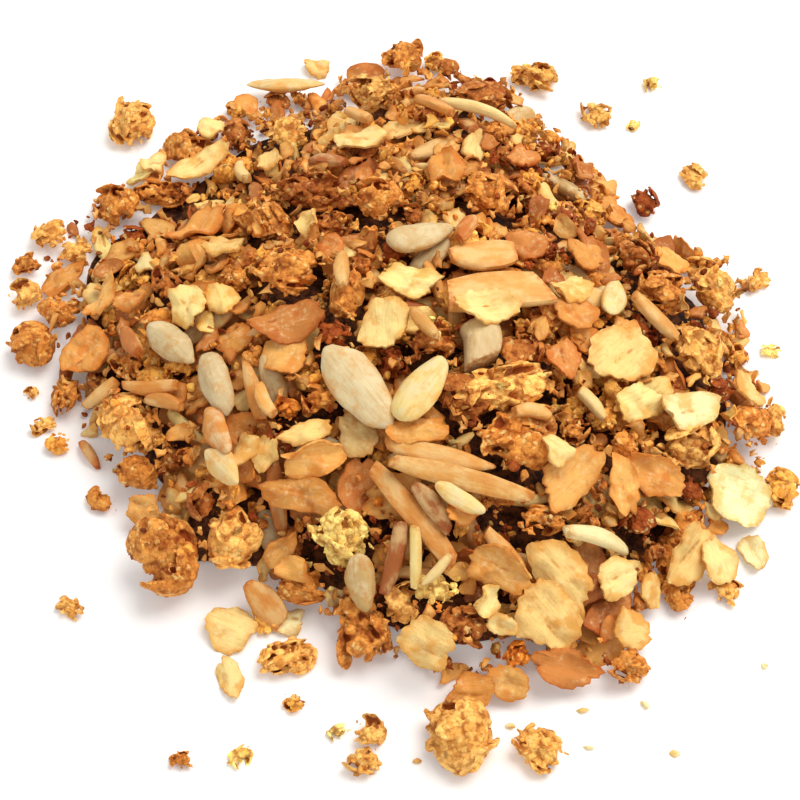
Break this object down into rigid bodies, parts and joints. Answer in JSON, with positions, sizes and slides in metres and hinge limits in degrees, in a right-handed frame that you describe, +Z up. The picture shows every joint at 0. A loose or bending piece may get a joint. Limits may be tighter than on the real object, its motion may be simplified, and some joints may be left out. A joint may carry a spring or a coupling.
{
  "type": "granola heap",
  "caption": "Loose heap of toasted granola: oat flakes, crumbly clusters, sunflower kernels and almond slivers, with stray pieces lying beside it.",
  "frame": {"origin": "on the surface, under the middle of all that lies on it", "axes": "+Z up, +X to the right and +Y away in the picture"},
  "size_m": [0.0978, 0.1068, 0.0201],
  "materials": {
    "granola_mix": "matte, toasted gold to brown, with deep brown gaps",
    "oat_flake": "matte, cream to gold, finely streaked",
    "baked_cluster": "crumbly, gold to brown, with a little sugar shine"
  },
  "bodies": {
    "root": {"granola_heap": "granola_mix", "loose_cluster_back_left": "baked_cluster", "loose_cluster_back_right": "baked_cluster", "loose_chip_back_right": "baked_cluster", "loose_crumb_far_back": "baked_cluster", "loose_crumb_back": "baked_cluster", "loose_chip_right_back": "baked_cluster", "loose_curl_right": "baked_cluster", "loose_crumb_right": "baked_cluster", "loose_flake_right": "oat_flake", "loose_chip_right_front": "baked_cluster", "loose_cluster_right": "baked_cluster", "loose_crumbs_right_front": "baked_cluster", "loose_cluster_front": "baked_cluster", "loose_cluster_front_right": "baked_cluster", "loose_knob_front": "baked_cluster", "loose_chunk_front": "baked_cluster", "loose_crumb_front_pale": "baked_cluster", "loose_crumb_front": "baked_cluster", "loose_cluster_front_left": "baked_cluster", "loose_flake_front_left": "oat_flake", "loose_chip_front_left": "baked_cluster", "loose_flake_front": "oat_flake", "loose_shard_front_left": "oat_flake", "loose_shard_left": "baked_cluster", "loose_crumb_front_edge": "baked_cluster", "loose_chip_front_edge": "baked_cluster", "loose_crumbs_left": "baked_cluster", "loose_crumb_left_near": "baked_cluster", "loose_crumb_left_middle": "baked_cluster", "loose_crumb_left_far": "baked_cluster"}
  },
  "joints": []
}
